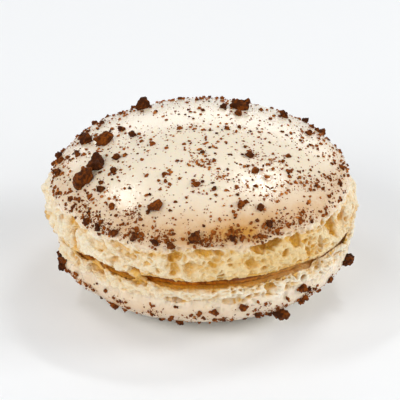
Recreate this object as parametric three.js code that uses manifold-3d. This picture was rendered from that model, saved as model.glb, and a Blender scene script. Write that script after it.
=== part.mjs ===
// A French macaron in millimetres, +Z up, resting on z = 0, with the origin below the centre of
// its upper shell. Two baked almond meringue shells lie flat side to flat side and hold a thin
// disc of filling. Each shell is one solid: a smooth domed cap, a ruffled and pitted foot round
// its edge, and the cocoa crumbs that stick to the cap. Both are shaped as they were baked, flat
// side down on z = 0, and the lower one is then turned over.
//
// Azimuths are in degrees, 0 towards -Y and 90 towards +X. A latitude on a cap is 0 at its skirt
// and 90 at its top. Turning the lower shell over swaps its +X and -X sides.
import * as THREE from "three";
import { ConvexGeometry } from "three/addons/geometries/ConvexGeometry.js";
import { mergeVertices } from "three/addons/utils/BufferGeometryUtils.js";
import Module from "manifold-3d";

const wasm = await Module();
wasm.setup();

// ---- Driving dimensions ----

const LOWER_LIP_Z = 9.8; // the lower foot's edge, and the height of the whole lower shell
const UPPER_LIP_Z = 11.4; // the upper foot's edge
const JOINT_GAP = 0.3; // between the filling and either shell
const LOWER_SHIFT = { x: 0.66, y: -0.42 }; // the lower shell sits off centre, the filling half
const FILLING = { radius: 20.3, columns: 96, seed: 31 };

const UPPER = {
  name: "upper_shell",
  flatSide: 0.35, // the flat side lies this far inside the foot's edge
  footRadius: 22.95,
  footHeight: 4.75,
  footTaper: 0.8, // the foot is this much narrower at the skirt
  footRows: 8,
  footColumns: 150,
  capRadius: 22.03,
  capRise: 8.24,
  capFullness: 1.81, // 2 makes the dome an ellipse, more makes it boxier
  capRows: 10,
  capColumns: 60,
  highest: Infinity,
  lean: 0.3, // the skirt rises this much towards +X and falls as much towards -X
  lumpCount: 90,
  pitCount: 46,
  crumbCount: 88,
  crumbsUpTo: 84, // degrees of latitude
  seed: 11,
};

const LOWER = {
  name: "lower_shell",
  flatSide: 0.3,
  footRadius: 21.7,
  footHeight: 2.5,
  footTaper: 0.2,
  footRows: 5,
  footColumns: 120,
  capRadius: 21.4,
  capRise: 7.6,
  capFullness: 2.5,
  capRows: 8,
  capColumns: 60,
  highest: LOWER_LIP_Z, // the dome is flattened here, where it rests once turned over
  lean: 0,
  lumpCount: 50,
  pitCount: 26,
  crumbCount: 30,
  crumbsUpTo: 38,
  seed: 23,
};

// Broad swells and hollows of a foot: degrees, height above its edge, and how far out in mm.
UPPER.swells = [
  { azimuth: 78, height: 1.0, out: 0.3, spread: 22, tall: 2.2 },
  { azimuth: 155, height: 1.5, out: -0.35, spread: 24, tall: 3.0 },
  { azimuth: -125, height: 1.5, out: 0.3, spread: 20, tall: 3.0 },
];
LOWER.swells = [
  { azimuth: 73, height: 1.8, out: 0.5, spread: 18, tall: 3.5 },
  { azimuth: -80, height: 0.6, out: 0.55, spread: 20, tall: 2.0 },
  { azimuth: -135, height: 1.0, out: 0.35, spread: 24, tall: 2.5 },
];

// Where a foot's edge rises towards its cap, or reaches past it towards the other shell.
UPPER.edgeRises = [
  { azimuth: -48, up: 0.25, spread: 8 },
  { azimuth: -84, up: -0.35, spread: 20 },
  { azimuth: 68, up: -0.5, spread: 18 },
];
LOWER.edgeRises = [
  { azimuth: 78, up: -0.8, spread: 24 },
  { azimuth: -80, up: -0.8, spread: 26 },
  { azimuth: 180, up: -0.5, spread: 50 },
];

// Where the skirt between cap and foot rises or dips.
UPPER.skirtRises = [
  { azimuth: -22, up: -0.4, spread: 11 },
  { azimuth: 5, up: 0.25, spread: 9 },
  { azimuth: 30, up: 0.35, spread: 11 },
];
LOWER.skirtRises = [{ azimuth: -10, up: 0.35, spread: 8 }];

// The widest pits of each foot; smaller ones are drawn at random. Heights are above its edge.
UPPER.pits = [
  { azimuth: -66, height: 3.2, wide: 1.1, tall: 0.7, deep: 0.8 },
  { azimuth: -55, height: 2.5, wide: 0.8, tall: 1.2, deep: 0.8 },
  { azimuth: -34, height: 3.9, wide: 1.8, tall: 0.6, deep: 0.7 },
  { azimuth: -26, height: 2.8, wide: 1.1, tall: 0.6, deep: 0.7 },
  { azimuth: -10, height: 3.5, wide: 1.3, tall: 0.6, deep: 0.8 },
  { azimuth: -9, height: 1.8, wide: 0.8, tall: 0.8, deep: 0.6 },
  { azimuth: 1, height: 4.2, wide: 2.2, tall: 0.5, deep: 0.7 },
  { azimuth: 19, height: 2.1, wide: 1.1, tall: 0.8, deep: 0.9 },
  { azimuth: 25, height: 4.1, wide: 1.9, tall: 0.6, deep: 0.8 },
  { azimuth: 38, height: 3.4, wide: 0.9, tall: 0.8, deep: 0.7 },
  { azimuth: 51, height: 1.9, wide: 0.8, tall: 0.7, deep: 0.6 },
  { azimuth: 57, height: 3.7, wide: 1.0, tall: 0.7, deep: 0.8 },
  { azimuth: 69, height: 3.2, wide: 1.0, tall: 0.7, deep: 0.7 },
];
LOWER.pits = [
  { azimuth: 49, height: 0.5, wide: 0.8, tall: 1.0, deep: 0.8 },
  { azimuth: 26, height: 0.3, wide: 1.3, tall: 0.8, deep: 0.9 },
  { azimuth: -10, height: 1.9, wide: 1.5, tall: 0.6, deep: 0.6 },
  { azimuth: -27, height: 1.2, wide: 0.8, tall: 0.7, deep: 0.6 },
  { azimuth: -50, height: 0.4, wide: 1.0, tall: 1.1, deep: 0.8 },
];

// The largest crumbs: azimuth, latitude and size. The others are drawn at random.
UPPER.crumbs = [
  [-64, 30, 3.0], [-68, 41, 2.5], [-92, 49, 2.2], [148, 58, 2.2], [-144, 46, 2.1],
  [40, 46, 1.9], [-100, 38, 1.9], [-20, 34, 1.8], [-2, 12, 1.7], [128, 42, 1.6],
  [-34, 8, 1.5], [-17, 9, 1.4], [-91, 61, 1.3], [-66, 51, 1.3], [-51, 33, 1.3],
  [19, 35, 1.3], [47, 61, 1.3], [158, 62, 1.2], [-89, 34, 1.2], [-56, 45, 1.2],
  [-40, 26, 1.2], [27, 30, 1.2], [28, 17, 1.2], [38, 52, 1.2], [105, 39, 1.2],
  [12, 11, 1.2], [16, 10, 1.1], [-105, 55, 1.2], [-2, 50, 1.2], [-48, 8, 1.2],
];
LOWER.crumbs = [
  [-33, 27, 2.0], [-76, 9, 1.9], [-41, 2, 1.5], [76, 10, 1.3], [74, 1, 1.2],
  [-15, 3, 1.2], [-22, 18, 1.2], [-44, 15, 1.2], [-4, 7, 1.2], [11, 32, 1.2],
  [40, 22, 1.2], [-28, 24, 1.0], [-45, 6, 1.0], [-55, 21, 0.9], [-62, 18, 0.9],
];

// Random relief. Waves run round a shell: how many there are, their cycles in a turn, their size.
const WAVES = {
  edge: { count: 8, cycles: [5, 24], size: 0.045 },
  skirt: { count: 8, cycles: [4, 20], size: 0.05 },
  round: { count: 6, cycles: [3, 11], size: 0.05 },
  dome: { count: 5, cycles: [2, 6], size: 0.5 },
  filling: { count: 7, cycles: [3, 17], size: 0.05 },
};
const LUMPS = { height: [0, 1], wide: [0.7, 1.4], tall: [0.45, 0.85], out: [0.15, 0.45] };
const PITS = { height: [0.1, 0.95], wide: [0.55, 1.15], tall: [0.4, 0.8], deep: [0.3, 0.7] };
const LIP = { rounding: 0.45, share: 0.16 }; // the foot's rounded edge, and its share of the side
const SKIRT_WAVE_FADE = 22; // degrees of latitude in which the skirt's waves die away
const SKIRT_TUCK = { inwards: 0.35, down: 0.3 }; // how the dome's edge turns in under itself

// Random crumbs.
const CRUMB_SIZE = { least: 0.75, more: 0.55 };
const CRUMB_SPACE = 0.3; // left between two crumbs
const SKIRT_CRUMBS = { share: 0.35, from: 4, to: 19 }; // those that lie within these latitudes
const CRUMB_REACH = { least: 0.84, more: 0.32 }; // of half the size, from its middle to a corner
const CRUMB_SHAPE = { width: 0.8, height: 0.75 }; // against its length
const CRUMB_SEAT = 0.06; // its middle stands off the cap by this share of its size
const CRUMB_CORNERS = 12;
const TWIN_CRUMBS = {
  fromSize: 1.7, // from this size on, a crumb is two grown together
  first: { size: 0.94, corners: 16 },
  second: { size: 0.62, corners: 11, along: 0.3, across: 0.1, up: 0.16 },
};

const MATERIALS = {
  upper_shell: { color: 0xf0dcbc, roughness: 0.5, metalness: 0 },
  lower_shell: { color: 0xeed9b5, roughness: 0.55, metalness: 0 },
  filling: { color: 0xa35a1c, roughness: 0.4, metalness: 0 },
};

// ---- Numbers ----

const radians = THREE.MathUtils.degToRad;
const GOLDEN_ANGLE = Math.PI * (3 - Math.sqrt(5));

// A repeatable stream of numbers from 0 to 1.
function randomStream(seed) {
  let state = seed;
  return () => {
    state = (state + 0x6d2b79f5) >>> 0;
    let mixed = Math.imul(state ^ (state >>> 15), state | 1);
    mixed = (mixed + Math.imul(mixed ^ (mixed >>> 7), mixed | 61)) ^ mixed;
    return ((mixed ^ (mixed >>> 14)) >>> 0) / 4294967296;
  };
}

// The shorter way round from one azimuth to another.
function turnBetween(from, to) {
  return ((((to - from + 180) % 360) + 360) % 360) - 180;
}

function bell(distance) {
  return Math.exp(-distance * distance);
}

function between(random, [least, most]) {
  return least + (most - least) * random();
}

// ---- Relief of a shell, drawn once from its seed ----

function drawWaves(random, { count, cycles: [fewest, most], size }) {
  return Array.from({ length: count }, () => ({
    cycles: fewest + Math.floor(random() * (most - fewest + 1)),
    phase: 360 * random(),
    size: size * (0.5 + random()),
  }));
}

function wavesAt(waves, azimuth) {
  return waves.reduce((sum, wave) => {
    return sum + wave.size * Math.cos(radians(wave.cycles * azimuth + wave.phase));
  }, 0);
}

function risesAt(rises, azimuth) {
  return rises.reduce((sum, rise) => {
    return sum + rise.up * bell(turnBetween(rise.azimuth, azimuth) / rise.spread);
  }, 0);
}

// How far a rounded lump stands out, or a pit goes in, at a point of the foot's side.
function lumpAt(lump, azimuth, height, radius) {
  const along = (radians(turnBetween(lump.azimuth, azimuth)) * radius) / lump.wide;
  const up = (height - lump.height) / lump.tall;
  return bell(Math.hypot(along, up));
}

function drawRelief(shell) {
  const random = randomStream(shell.seed);
  const relief = {
    edge: drawWaves(random, WAVES.edge),
    skirt: drawWaves(random, WAVES.skirt),
    round: drawWaves(random, WAVES.round),
    dome: drawWaves(random, WAVES.dome),
  };
  relief.lumps = Array.from({ length: shell.lumpCount }, () => ({
    azimuth: between(random, [-180, 180]),
    height: shell.footHeight * between(random, LUMPS.height),
    wide: between(random, LUMPS.wide),
    tall: between(random, LUMPS.tall),
    out: between(random, LUMPS.out),
  }));
  relief.pits = shell.pits.concat(
    Array.from({ length: shell.pitCount }, () => ({
      azimuth: between(random, [-180, 180]),
      height: shell.footHeight * between(random, PITS.height),
      wide: between(random, PITS.wide),
      tall: between(random, PITS.tall),
      deep: between(random, PITS.deep),
    })),
  );
  return relief;
}

// ---- A shell's surfaces, flat side down ----

// How far the skirt between cap and foot stands above its usual height, without its lean.
function skirtRise(shell, relief, azimuth) {
  return risesAt(shell.skirtRises, azimuth) + wavesAt(relief.skirt, azimuth);
}

function edgeRise(shell, relief, azimuth) {
  return risesAt(shell.edgeRises, azimuth) + wavesAt(relief.edge, azimuth);
}

function swellAt(shell, azimuth, height) {
  return shell.swells.reduce((sum, swell) => {
    const across = bell(turnBetween(swell.azimuth, azimuth) / swell.spread);
    return sum + swell.out * across * bell((height - swell.height) / swell.tall);
  }, 0);
}

// A point of the foot's side, at a share of the way up from its edge to the skirt.
function footPoint(shell, relief, azimuth, share) {
  const leaning = shell.lean * Math.sin(radians(azimuth));
  const skirt = skirtRise(shell, relief, azimuth) + leaning;
  const rise = THREE.MathUtils.lerp(edgeRise(shell, relief, azimuth), skirt, share);
  const height = shell.footHeight * share;
  const rounding = LIP.rounding * (1 - THREE.MathUtils.smoothstep(share, 0, LIP.share));
  let radius = shell.footRadius - shell.footTaper * share ** 1.3 - rounding;
  radius += swellAt(shell, azimuth, height) + wavesAt(relief.round, azimuth);
  for (const lump of relief.lumps) {
    radius += lump.out * lumpAt(lump, azimuth, height, shell.footRadius);
  }
  for (const pit of relief.pits) {
    radius -= pit.deep * lumpAt(pit, azimuth, height, shell.footRadius);
  }
  return { radius, height: height + rise };
}

// A point of the cap's dome.
function capPoint(shell, relief, azimuth, latitude) {
  const level = Math.cos(radians(latitude));
  const power = 2 / shell.capFullness;
  const radius = shell.capRadius * level ** power;
  const swell = swellAt(shell, azimuth, shell.footHeight) + wavesAt(relief.round, azimuth);
  const dome = shell.capRise * Math.sin(radians(latitude)) ** power;
  const lean = shell.lean * Math.sin(radians(azimuth)) * (radius / shell.capRadius);
  const skirt = skirtRise(shell, relief, azimuth) * bell(latitude / SKIRT_WAVE_FADE);
  const dent = wavesAt(relief.dome, azimuth) * level ** 3 * (1 - level);
  const height = shell.footHeight + dome + lean + skirt + dent;
  return {
    radius: radius + swell * level ** 3,
    height: Math.min(height, shell.highest),
  };
}

// ---- Solids ----

// Turns a closed geometry into a solid that can be joined.
function toSolid(geometry) {
  const bare = geometry.index ? geometry.toNonIndexed() : geometry.clone();
  bare.deleteAttribute("normal");
  bare.deleteAttribute("uv");
  const merged = mergeVertices(bare, 1e-5);
  const corners = merged.index.array;
  const kept = [];
  for (let i = 0; i < corners.length; i += 3) {
    const [a, b, c] = corners.subarray(i, i + 3);
    if (a !== b && b !== c && c !== a) {
      kept.push(a, b, c);
    }
  }
  const mesh = new wasm.Mesh({
    numProp: 3,
    vertProperties: new Float32Array(merged.attributes.position.array),
    triVerts: new Uint32Array(kept),
  });
  return new wasm.Manifold(mesh);
}

function toGeometry(solid) {
  const mesh = solid.getMesh();
  const geometry = new THREE.BufferGeometry();
  geometry.setAttribute("position", new THREE.BufferAttribute(mesh.vertProperties, 3));
  geometry.setIndex(new THREE.BufferAttribute(mesh.triVerts, 1));
  geometry.computeVertexNormals();
  return geometry;
}

// A lathe turned about +Z, whose rows are then moved to where place(azimuth, row) puts them.
function unevenLathe(rows, columns, place) {
  const outline = Array.from({ length: rows }, (_, row) => new THREE.Vector2(1, row));
  const geometry = new THREE.LatheGeometry(outline, columns);
  geometry.rotateX(Math.PI / 2);
  const position = geometry.attributes.position;
  for (let column = 0; column <= columns; column += 1) {
    const azimuth = (360 * (column % columns)) / columns;
    const sine = Math.sin(radians(azimuth));
    const cosine = Math.cos(radians(azimuth));
    for (let row = 0; row < rows; row += 1) {
      const { radius, height } = place(azimuth, row);
      position.setXYZ(column * rows + row, radius * sine, -radius * cosine, height);
    }
  }
  return geometry;
}

// The foot: a disc with a ruffled side, whose flat side lies a little way in from its edge. Its
// top is hidden in the cap.
function footSolid(shell, relief) {
  const flatRadius = shell.footRadius - 0.95;
  const topRadius = shell.capRadius - 0.9;
  const topHeight = shell.footHeight + 0.35;
  const bottom = [
    { radius: 0, height: shell.flatSide },
    { radius: flatRadius, height: shell.flatSide },
  ];
  const top = [
    { radius: topRadius, height: topHeight },
    { radius: 0, height: topHeight },
  ];
  const topRow = bottom.length + shell.footRows;
  const geometry = unevenLathe(topRow + top.length, shell.footColumns, (azimuth, row) => {
    if (row < bottom.length) {
      return bottom[row];
    }
    if (row >= topRow) {
      return top[row - topRow];
    }
    const share = (row - bottom.length) / (shell.footRows - 1);
    return footPoint(shell, relief, azimuth, 0.98 * share ** 1.1);
  });
  return toSolid(geometry);
}

// The cap: a dome on a disc that is hidden in the foot.
function capSolid(shell, relief) {
  const discRadius = shell.capRadius - 1.4;
  const discHeight = shell.footHeight - 0.9;
  const disc = [
    { radius: 0, height: discHeight },
    { radius: discRadius, height: discHeight },
  ];
  const domeRow = disc.length + 1;
  const rows = domeRow + shell.capRows;
  const geometry = unevenLathe(rows, shell.capColumns, (azimuth, row) => {
    if (row < disc.length) {
      return disc[row];
    }
    if (row < domeRow) {
      const { radius, height } = capPoint(shell, relief, azimuth, 0);
      return { radius: radius - SKIRT_TUCK.inwards, height: height - SKIRT_TUCK.down };
    }
    return capPoint(shell, relief, azimuth, (90 * (row - domeRow)) / (shell.capRows - 1));
  });
  return toSolid(geometry);
}

// ---- Cocoa crumbs ----

// Azimuth, latitude and size of every crumb, the random ones clear of those before them.
function placeCrumbs(shell) {
  const random = randomStream(shell.seed + 100);
  const crumbs = shell.crumbs.map(([azimuth, latitude, size]) => ({ azimuth, latitude, size }));
  while (crumbs.length < shell.crumbCount) {
    const azimuth = between(random, [-180, 180]);
    const nearSkirt = random() < SKIRT_CRUMBS.share;
    const reach = Math.sqrt(random());
    const skirtLatitude = THREE.MathUtils.lerp(SKIRT_CRUMBS.from, SKIRT_CRUMBS.to, reach);
    const domeLatitude = THREE.MathUtils.radToDeg(Math.acos(reach ** (shell.capFullness / 2)));
    const latitude = nearSkirt ? skirtLatitude : domeLatitude;
    const size = CRUMB_SIZE.least + CRUMB_SIZE.more * random() ** 2;
    const clear = crumbs.every((other) => {
      const along = radians(turnBetween(other.azimuth, azimuth)) * Math.cos(radians(latitude));
      const up = radians(latitude - other.latitude) * 0.7;
      const apart = shell.capRadius * Math.hypot(along, up);
      return apart > 0.6 * (size + other.size) + CRUMB_SPACE;
    });
    if (clear && latitude > SKIRT_CRUMBS.from && latitude < shell.crumbsUpTo) {
      crumbs.push({ azimuth, latitude, size });
    }
  }
  return crumbs;
}

// A blocky lump: the hull of points spread unevenly over a flattened ball.
function lumpGeometry(size, corners, random) {
  const points = Array.from({ length: corners }, (_, corner) => {
    const level = 1 - (2 * corner + 1) / corners;
    const turn = GOLDEN_ANGLE * corner + random();
    const across = Math.sqrt(1 - level * level);
    const reach = (size / 2) * (CRUMB_REACH.least + CRUMB_REACH.more * random());
    return new THREE.Vector3(
      reach * across * Math.cos(turn),
      reach * across * Math.sin(turn) * CRUMB_SHAPE.width,
      reach * level * CRUMB_SHAPE.height,
    );
  });
  return new ConvexGeometry(points);
}

// The dome's point, and a frame whose z axis stands on it.
function capFrame(shell, relief, azimuth, latitude) {
  const at = (toAzimuth, toLatitude) => {
    const { radius, height } = capPoint(shell, relief, toAzimuth, toLatitude);
    const angle = radians(toAzimuth);
    return new THREE.Vector3(radius * Math.sin(angle), -radius * Math.cos(angle), height);
  };
  const point = at(azimuth, latitude);
  const along = at(azimuth + 1, latitude).sub(point).normalize();
  const normal = along.clone().cross(at(azimuth, latitude + 1).sub(point)).normalize();
  const upwards = normal.clone().cross(along);
  return new THREE.Matrix4().makeBasis(along, upwards, normal).setPosition(point);
}

function crumbSolids(shell, relief) {
  const random = randomStream(shell.seed + 200);
  return placeCrumbs(shell).flatMap(({ azimuth, latitude, size }) => {
    const frame = capFrame(shell, relief, azimuth, latitude);
    const spin = new THREE.Matrix4().makeRotationZ(2 * Math.PI * random());
    const seat = new THREE.Matrix4().makeTranslation(0, 0, CRUMB_SEAT * size);
    const stand = frame.clone().multiply(spin).multiply(seat);
    const { fromSize, first, second } = TWIN_CRUMBS;
    if (size < fromSize) {
      return [toSolid(lumpGeometry(size, CRUMB_CORNERS, random).applyMatrix4(stand))];
    }
    const body = lumpGeometry(first.size * size, first.corners, random);
    const twin = lumpGeometry(second.size * size, second.corners, random);
    twin.translate(second.along * size, second.across * size, second.up * size);
    return [body, twin].map((lump) => toSolid(lump.applyMatrix4(stand)));
  });
}

// ---- Sub-parts ----

function shellMesh(shell) {
  const relief = drawRelief(shell);
  const pieces = [footSolid(shell, relief), capSolid(shell, relief), ...crumbSolids(shell, relief)];
  const solid = wasm.Manifold.union(pieces);
  const material = new THREE.MeshStandardMaterial(MATERIALS[shell.name]);
  const mesh = new THREE.Mesh(toGeometry(solid), material);
  mesh.name = shell.name;
  return mesh;
}

function upperShell() {
  const mesh = shellMesh(UPPER);
  mesh.position.set(0, 0, UPPER_LIP_Z);
  return mesh;
}

function lowerShell() {
  const mesh = shellMesh(LOWER);
  mesh.rotation.y = Math.PI;
  mesh.position.set(LOWER_SHIFT.x, LOWER_SHIFT.y, LOWER_LIP_Z);
  return mesh;
}

// The disc of filling, its edge rounded and pressed out a little unevenly.
function filling() {
  const bottom = LOWER_LIP_Z - LOWER.flatSide + JOINT_GAP;
  const top = UPPER_LIP_Z + UPPER.flatSide - JOINT_GAP;
  const bulges = drawWaves(randomStream(FILLING.seed), WAVES.filling);
  const rows = [
    { inset: FILLING.radius, level: 0 },
    { inset: 0.35, level: 0 },
    { inset: 0, level: 0.45 },
    { inset: 0.3, level: 1 },
    { inset: FILLING.radius, level: 1 },
  ];
  const geometry = unevenLathe(rows.length, FILLING.columns, (azimuth, row) => {
    const { inset, level } = rows[row];
    const bulge = inset < FILLING.radius ? wavesAt(bulges, azimuth) : 0;
    return {
      radius: FILLING.radius - inset + bulge,
      height: THREE.MathUtils.lerp(bottom, top, level),
    };
  });
  const mesh = new THREE.Mesh(
    toGeometry(toSolid(geometry)), new THREE.MeshStandardMaterial(MATERIALS.filling));
  mesh.name = "filling";
  mesh.position.set(LOWER_SHIFT.x / 2, LOWER_SHIFT.y / 2, 0);
  return mesh;
}

const macaron = new THREE.Group();
macaron.name = "macaron";
macaron.add(upperShell(), filling(), lowerShell());

export default macaron;
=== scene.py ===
"""A French macaron dusted with cocoa crumbs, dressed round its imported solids.

Two baked almond meringue shells lie flat side to flat side and hold a thin disc of filling. Each
shell is one skin: a smooth domed cap, and a ruffled, foamy foot round its edge. Both are shaped as
they were baked, flat side down, and the lower one is then turned over. Cocoa crumbs of four sizes
stick to them.

Shapes are worked out in millimetres and stored in metres. Azimuths are in degrees, 0 towards -Y
and 90 towards +X. A latitude on a cap is 0 at its skirt and 90 at its top. Turning the lower shell
over swaps its +X and -X sides.
"""

import math
from types import SimpleNamespace as named

import bmesh
import bpy
import numpy as np
from mathutils import Matrix, Vector, noise


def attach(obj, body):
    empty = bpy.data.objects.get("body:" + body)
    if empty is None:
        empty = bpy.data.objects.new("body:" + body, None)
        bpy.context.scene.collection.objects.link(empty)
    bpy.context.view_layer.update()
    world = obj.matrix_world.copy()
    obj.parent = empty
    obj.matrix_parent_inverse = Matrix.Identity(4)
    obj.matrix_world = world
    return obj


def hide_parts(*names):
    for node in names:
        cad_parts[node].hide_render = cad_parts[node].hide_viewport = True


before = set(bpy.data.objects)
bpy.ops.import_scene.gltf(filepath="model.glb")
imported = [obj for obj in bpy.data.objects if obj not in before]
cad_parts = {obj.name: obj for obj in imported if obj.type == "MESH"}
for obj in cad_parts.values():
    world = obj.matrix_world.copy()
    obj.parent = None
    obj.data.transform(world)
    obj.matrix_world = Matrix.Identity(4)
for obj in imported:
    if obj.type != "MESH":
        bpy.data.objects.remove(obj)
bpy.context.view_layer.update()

bl_info = {
    "name": "French Macaron",
    "version": (1, 0, 0),
    "blender": (4, 5, 0),
    "location": "View3D > Sidebar > Macaron",
    "description": "Two meringue shells, their filling, cocoa crumbs and a pale stage",
    "category": "Object",
}

MM = 0.001

# ---- Sizes that the solids share, in millimetres and degrees ----

LOWER_LIP_Z = 9.8
UPPER_LIP_Z = 11.4
LOWER_SHIFT = (0.66, -0.42)
FILLING = named(radius=20.3, seed=31)
PALE_FILLING = named(azimuth=54, spread=32)

# Side is -1 for the shell that is turned over. Each last line is for the visible skins alone.
UPPER = named(
    name="upper_shell", side=1, lip_z=UPPER_LIP_Z, shift=(0.0, 0.0),
    flat_side=0.35, foot_radius=22.95, foot_height=4.75, foot_taper=0.8,
    cap_radius=22.03, cap_rise=8.24, cap_fullness=1.81, highest=math.inf, lean=0.3,
    lump_count=90, pit_count=46, crumb_count=88, crumbs_up_to=84, seed=11,
    foot_rows=50, cap_rows=32, grain_share=0.8, grains_up_to=88,
)
LOWER = named(
    name="lower_shell", side=-1, lip_z=LOWER_LIP_Z, shift=LOWER_SHIFT,
    flat_side=0.3, foot_radius=21.7, foot_height=2.5, foot_taper=0.2,
    cap_radius=21.4, cap_rise=7.6, cap_fullness=2.5, highest=LOWER_LIP_Z, lean=0.0,
    lump_count=50, pit_count=26, crumb_count=30, crumbs_up_to=38, seed=23,
    foot_rows=36, cap_rows=46, grain_share=0.2, grains_up_to=40,
)

# Broad swells and hollows of a foot: azimuth, height above its edge, out, spread and how tall.
UPPER.swells = [(78, 1.0, 0.3, 22, 2.2), (155, 1.5, -0.35, 24, 3.0), (-125, 1.5, 0.3, 20, 3.0)]
LOWER.swells = [(73, 1.8, 0.5, 18, 3.5), (-80, 0.6, 0.55, 20, 2.0), (-135, 1.0, 0.35, 24, 2.5)]

# Where a foot's edge, and the skirt between cap and foot, rise or dip: azimuth, up and spread.
UPPER.edge_rises = [(-48, 0.25, 8), (-84, -0.35, 20), (68, -0.5, 18)]
LOWER.edge_rises = [(78, -0.8, 24), (-80, -0.8, 26), (180, -0.5, 50)]
UPPER.skirt_rises = [(-22, -0.4, 11), (5, 0.25, 9), (30, 0.35, 11)]
LOWER.skirt_rises = [(-10, 0.35, 8)]

# The widest pits of each foot: azimuth, height above its edge, wide, tall and deep.
UPPER.pits = [
    (-66, 3.2, 1.1, 0.7, 0.8), (-55, 2.5, 0.8, 1.2, 0.8), (-34, 3.9, 1.8, 0.6, 0.7),
    (-26, 2.8, 1.1, 0.6, 0.7), (-10, 3.5, 1.3, 0.6, 0.8), (-9, 1.8, 0.8, 0.8, 0.6),
    (1, 4.2, 2.2, 0.5, 0.7), (19, 2.1, 1.1, 0.8, 0.9), (25, 4.1, 1.9, 0.6, 0.8),
    (38, 3.4, 0.9, 0.8, 0.7), (51, 1.9, 0.8, 0.7, 0.6), (57, 3.7, 1.0, 0.7, 0.8),
    (69, 3.2, 1.0, 0.7, 0.7),
]
LOWER.pits = [
    (49, 0.5, 0.8, 1.0, 0.8), (26, 0.3, 1.3, 0.8, 0.9), (-10, 1.9, 1.5, 0.6, 0.6),
    (-27, 1.2, 0.8, 0.7, 0.6), (-50, 0.4, 1.0, 1.1, 0.8),
]

# Small pits that only the visible skins have.
UPPER.more_pits = [
    (78, 1.4, 0.6, 0.55, 1.0), (59, 3.9, 0.55, 0.5, 1.0), (59, 2.5, 0.6, 0.45, 1.0),
    (57, 0.9, 0.5, 0.35, 0.9), (40, 3.1, 0.5, 0.5, 1.0), (44, 1.3, 0.55, 0.45, 1.0),
    (66, 1.3, 0.4, 0.4, 0.9), (71, 2.2, 0.45, 0.4, 0.9), (50, 2.7, 0.4, 0.35, 0.9),
    (-71, 2.5, 0.6, 0.45, 1.0), (-40, 2.2, 0.5, 0.35, 0.8), (-15, 1.1, 0.4, 0.3, 0.8),
]
LOWER.more_pits = [
    (-74, 0.4, 0.5, 0.5, 1.0), (-59, 0.4, 0.5, 0.5, 1.0), (-66, 1.3, 0.5, 0.4, 0.9),
    (-38, 1.5, 0.5, 0.35, 0.9), (62, 0.8, 0.4, 0.6, 0.9), (35, 0.8, 0.45, 0.5, 0.8),
]

# The largest crumbs of each cap: azimuth, latitude and size.
UPPER.crumbs = [
    (-64, 30, 3.0), (-68, 41, 2.5), (-92, 49, 2.2), (148, 58, 2.2), (-144, 46, 2.1),
    (40, 46, 1.9), (-100, 38, 1.9), (-20, 34, 1.8), (-2, 12, 1.7), (128, 42, 1.6),
    (-34, 8, 1.5), (-17, 9, 1.4), (-91, 61, 1.3), (-66, 51, 1.3), (-51, 33, 1.3),
    (19, 35, 1.3), (47, 61, 1.3), (158, 62, 1.2), (-89, 34, 1.2), (-56, 45, 1.2),
    (-40, 26, 1.2), (27, 30, 1.2), (28, 17, 1.2), (38, 52, 1.2), (105, 39, 1.2),
    (12, 11, 1.2), (16, 10, 1.1), (-105, 55, 1.2), (-2, 50, 1.2), (-48, 8, 1.2),
]
LOWER.crumbs = [
    (-33, 27, 2.0), (-76, 9, 1.9), (-41, 2, 1.5), (76, 10, 1.3), (74, 1, 1.2),
    (-15, 3, 1.2), (-22, 18, 1.2), (-44, 15, 1.2), (-4, 7, 1.2), (11, 32, 1.2),
    (40, 22, 1.2), (-28, 24, 1.0), (-45, 6, 1.0), (-55, 21, 0.9), (-62, 18, 0.9),
]

# Random relief. Waves run round a shell: how many there are, their cycles in a turn, their size.
WAVES = named(
    edge=(8, (5, 24), 0.045), skirt=(8, (4, 20), 0.05), round=(6, (3, 11), 0.05),
    dome=(5, (2, 6), 0.5), filling=(7, (3, 17), 0.05),
)
WAVE_SIZES = (0.5, 1.5)  # against their usual size
LUMPS = named(height=(0, 1), wide=(0.7, 1.4), tall=(0.45, 0.85), out=(0.15, 0.45))
PITS = named(height=(0.1, 0.95), wide=(0.55, 1.15), tall=(0.4, 0.8), deep=(0.3, 0.7))
LIP = named(rounding=0.45, share=0.16)
TAPER_POWER = 1.3
SKIRT_WAVE_FADE = 22

# Random crumbs, and the shape of every crumb. The seeds are added to that of their shell.
SEEDS = named(places=100, crumbs=200)
CRUMB_SIZE = named(least=0.75, more=0.55)
CRUMB_SPACE = named(least=0.3, by_size=0.6, steepness=0.7)
SKIRT_CRUMBS = named(share=0.35, lowest=4, highest=19)
CRUMB_REACH = named(least=0.84, more=0.32)
CRUMB_SHAPE = named(width=0.8, height=0.75)
CRUMB_CORNERS = 12
# A crumb is one lump, and from some size on it is two: size, corners, and how far aside.
TWINS_FROM_SIZE = 1.7
ONE_LUMP = [(1.0, CRUMB_CORNERS, (0, 0, 0))]
TWIN_LUMPS = [(0.94, 16, (0, 0, 0)), (0.62, 11, (0.3, 0.1, 0.16))]
GOLDEN_ANGLE = math.pi * (3 - math.sqrt(5))

# Crumbs of middling size that only the visible skins have.
UPPER.more_crumbs = [
    (-23, 30, 0.9), (22, 36, 0.9), (-55, 36, 0.9), (-91, 27, 1.0), (120, 27, 1.0), (8, 47, 1.0),
    (68, 49, 1.0), (93, 78, 1.0), (-63, 67, 1.0), (-25, 54, 1.0), (-42, 8, 1.2), (-11, 6, 1.2),
    (-178, 51, 0.9), (-169, 43, 0.9), (-164, 44, 0.7), (23, 9, 1.0),
]
LOWER.more_crumbs = [
    (-34, 5, 0.7), (42, 4, 0.9), (-4, 18, 0.9), (11, 3, 0.7), (70, 13, 0.9), (71, 8, 1.7),
    (69, 1, 1.3), (-73, 6, 1.8),
]
# These lie as a low heap of powder.
CRUSHED = named(crumbs=[(40, 46)], stretch=(0.5, 0.4, 0.35), warmer=0.5)
LARGE_CRUMB = 1.4
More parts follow.
